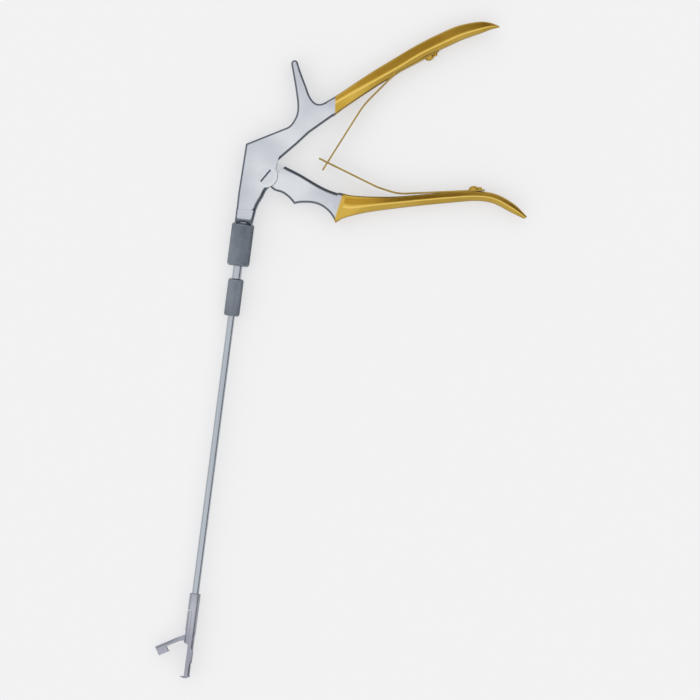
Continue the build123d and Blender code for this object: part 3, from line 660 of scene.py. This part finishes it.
def leaf_piece(name, node, route, bends, tip_half, window=None):
    """A leaf spring as a thin strip that bends where it lifts off its grip. It narrows to its tip's half
    width, and its window runs between two distances from the tip."""
    path = leaf_path(route, bends)
    to_tip = [0.0]
    for start, end in zip(reversed(path), list(reversed(path))[1:]):
        to_tip.append(to_tip[-1] + (end - start).length)
    to_tip.reverse()
    vertices = []
    for i, point in enumerate(path):
        tangent = (path[min(i + 1, len(path) - 1)] - path[max(i - 1, 0)]).normalized()
        side = tangent.cross(UP) * (LEAF_THICKNESS / 2)
        share = min(1.0, max(0.0, (to_tip[i] - TONGUE_LENGTH) / TAPER_LENGTH))
        half_width = tip_half + (LEAF_HALF - tip_half) * share
        for offset in (side, -side):
            for column in LEAF_COLUMNS:
                vertices.append(point + offset + UP * (column * half_width))
    rows, wide = len(path), len(LEAF_COLUMNS)

    def filled(i, j):
        if not (0 <= i < rows - 1 and 0 <= j < wide - 1):
            return False
        middle = (to_tip[i] + to_tip[i + 1]) / 2
        return not (window and j == 1 and window[0] < middle < window[1])

    def index(i, face, j):
        return (2 * i + face) * wide + j

    faces = []
    for i in range(rows - 1):
        for j in range(wide - 1):
            if not filled(i, j):
                continue
            for face in (0, 1):
                faces.append((index(i, face, j), index(i + 1, face, j),
                              index(i + 1, face, j + 1), index(i, face, j + 1)))
            edges = (((i, j), (i, j + 1), filled(i - 1, j)),
                     ((i + 1, j), (i + 1, j + 1), filled(i + 1, j)),
                     ((i, j), (i + 1, j), filled(i, j - 1)),
                     ((i, j + 1), (i + 1, j + 1), filled(i, j + 1)))
            for first, last, closed in edges:
                if not closed:
                    faces.append((index(first[0], 0, first[1]), index(last[0], 0, last[1]),
                                  index(last[0], 1, last[1]), index(first[0], 1, first[1])))
    piece = new_piece(name, vertices, faces, gold_leaf, smooth=False)
    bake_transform(piece)
    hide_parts(node)


def domed_fastener(name, node, body, place, normal, radius, height):
    """The round head of a screw or pin on a leaf, its radius and height given in millimetres."""
    turns = [pi / 2 * k / HEAD_STEPS for k in range(HEAD_STEPS)]
    profile = [(radius, -HEAD_SINK)]
    profile += [(radius * cos(turn), HEAD_EDGE + (height - HEAD_EDGE) * sin(turn)) for turn in turns]
    other = normal.cross(UP)
    vertices = []
    for ring_radius, ring_height in profile:
        for k in range(HEAD_SIDES):
            angle = 2 * pi * k / HEAD_SIDES
            vertices.append(place + normal * (ring_height * MM)
                            + (UP * cos(angle) + other * sin(angle)) * (ring_radius * MM))
    piece = new_piece(name, vertices, tube_faces(len(profile), HEAD_SIDES), gold_screw)
    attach(piece, body)
    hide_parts(node)


def make_nose():
    """The end of the forged body, which runs on to the nut with rounded edges."""
    vertices = []
    for x, low, high, half in NOSE_ROWS:
        for y, z, bend in ((low, -half, NOSE_LOW_BEND), (high, -half, NOSE_HIGH_BEND),
                           (high, half, NOSE_HIGH_BEND), (low, half, NOSE_LOW_BEND)):
            inward = Vector((0, 1 if y == low else -1, 0)), Vector((0, 0, 1 if z < 0 else -1))
            first, last = inward if (y == low) == (z > 0) else inward[::-1]
            corner = Vector((x, y, z))
            for t in CORNER_STEPS:
                vertices.append((corner + first * bend * (1 - t) ** 2 + last * bend * t ** 2) * MM)
    faces = tube_faces(len(NOSE_ROWS), len(vertices) // len(NOSE_ROWS))
    nose = new_piece("handle_nose", vertices, faces, fixed_metal)
    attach(nose, "handle")


def make_handle(side, node, body, material, cut, cut_normal, rows, route, painted_shade_flanks):
    """A handle's steel side and grip, with the screw and the pin of its leaf."""
    steel_part(side + "_handle_body", node, body, cut, cut_normal, material)
    grip_piece(side + "_grip", node, body, rows, route, material, painted_shade_flanks)
    along, normal = leaf_directions(route)
    seat = flat_point(route[0]) + normal * (LEAF_THICKNESS / 2)
    domed_fastener(side + "_leaf_screw", side + "_spring_screw", body, seat + along * SCREW_BACK, normal,
                   SCREW_RADIUS, SCREW_HEIGHT)
    domed_fastener(side + "_leaf_pin", side + "_spring_pin", body, seat + along * PIN_BACK, normal,
                   PIN_RADIUS, PIN_HEIGHT)


# The upper grip gets painted shade on its outer flanks, the lower grip on its inner flanks
make_handle("upper", "fixed_handle", "handle", fixed_metal, UPPER_CUT, UPPER_CUT_NORMAL, UPPER_ROWS,
            UPPER_ROUTE, OUTER_FLANKS)
make_handle("lower", "movable_handle", "lever", movable_metal, LOWER_CUT, LOWER_CUT_NORMAL, LOWER_ROWS,
            LOWER_ROUTE, INNER_FLANKS)
make_nose()
leaf_piece("upper_leaf", "upper_leaf_spring", UPPER_ROUTE, UPPER_BENDS,
           TONGUE_HALF)
leaf_piece("lower_leaf", "lower_leaf_spring", LOWER_ROUTE, LOWER_BENDS,
           LEAF_HALF, LEAF_WINDOW)


# Knurled nut and sleeve: real diamond knurling, cut into a turned profile along the shaft.
# A bore is a list of (x, radius) from the far end back to the near end.
NUT_START, NUT_END, NUT_RADIUS = -11.8 * MM, 11.9 * MM, 6.2 * MM
NUT_BEVEL, NUT_RIM = 1.0 * MM, 1.25 * MM
NUT_BORE, NUT_SHOULDER, NUT_NECK = 4.5 * MM, 5.1 * MM, 2.65 * MM
NUT_INSIDE = [(NUT_END, NUT_NECK), (NUT_SHOULDER, NUT_NECK), (NUT_SHOULDER, NUT_BORE), (NUT_START, NUT_BORE)]
SLEEVE_START, SLEEVE_END, SLEEVE_RADIUS = 19.0 * MM, 39.6 * MM, 4.3 * MM
SLEEVE_BEVEL, SLEEVE_RIM = 0.8 * MM, 1.0 * MM
SLEEVE_BORE, SLEEVE_STEP, SLEEVE_NECK = 2.57 * MM, 30.2 * MM, 1.95 * MM
SLEEVE_INSIDE = [(SLEEVE_END, SLEEVE_NECK), (SLEEVE_STEP, SLEEVE_NECK), (SLEEVE_STEP, SLEEVE_BORE),
                 (SLEEVE_START, SLEEVE_BORE)]
KNURL_PITCH = 0.95 * MM
KNURL_DEPTH = 0.22 * MM
KNURL_FADE = 0.35 * MM
KNURL_STRETCH = 1.6
KNURL_STEPS = 8
GROOVE_SHARE = 0.85


def ring_profile(points, step):
    """The points of a turned profile, with no two further apart than a step along the shaft."""
    dense = [points[0]]
    for (x0, r0), (x1, r1) in zip(points, points[1:]):
        count = max(1, ceil(abs(x1 - x0) / step))
        dense += [(x0 + (x1 - x0) * i / count, r0 + (r1 - r0) * i / count) for i in range(1, count + 1)]
    return dense


def knurl_cut(x, angle, count, pitch_x):
    """How deep the two sets of crossing grooves are at a place."""
    turns = angle * count / (2 * pi)
    along = x / pitch_x
    cut = 0.0
    for phase in (turns + along, turns - along):
        off_groove = abs(phase - round(phase)) * 2
        cut = max(cut, KNURL_DEPTH * max(0.0, 1.0 - off_groove / GROOVE_SHARE))
    return cut


def knurled_piece(name, node, body, start, end, radius, bevel, rim, bore):
    """A sleeve with a bevel at each end, diamond knurling between plain rims, and a stepped bore."""
    count = round(2 * pi * radius / KNURL_PITCH)
    pitch_x = KNURL_PITCH * KNURL_STRETCH
    around = KNURL_STEPS * count
    outer = ring_profile([(start, radius - bevel), (start + bevel, radius), (end - bevel, radius),
                          (end, radius - bevel)], pitch_x / KNURL_STEPS)
    rings = outer + bore
    vertices = []
    for ring, (x, ring_radius) in enumerate(rings):
        for j in range(around):
            angle = 2 * pi * j / around
            cut = 0.0
            if ring < len(outer):
                fade = min(1.0, max(0.0, min(x - start - rim, end - rim - x) / KNURL_FADE))
                cut = fade * knurl_cut(x, angle, count, pitch_x)
            distance = ring_radius - cut
            vertices.append((x, distance * cos(angle), distance * sin(angle)))
    faces = []
    for ring in range(len(rings)):
        here, there = ring * around, (ring + 1) % len(rings) * around
        for j in range(around):
            k = (j + 1) % around
            faces.append((here + j, there + j, there + k, here + k))
    mesh = bpy.data.meshes.new(name)
    mesh.from_pydata(vertices, [], faces)
    mesh.validate()
    mesh.materials.append(knurled_steel)
    piece = add_object(name, mesh)
    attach(piece, body)
    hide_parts(node)


knurled_piece("knurled_nut", "coupling_nut", "nut", NUT_START, NUT_END, NUT_RADIUS, NUT_BEVEL, NUT_RIM,
              NUT_INSIDE)
knurled_piece("knurled_sleeve", "rotation_sleeve", "shaft", SLEEVE_START, SLEEVE_END, SLEEVE_RADIUS,
              SLEEVE_BEVEL, SLEEVE_RIM, SLEEVE_INSIDE)

make_camera()
make_world()
make_floor()
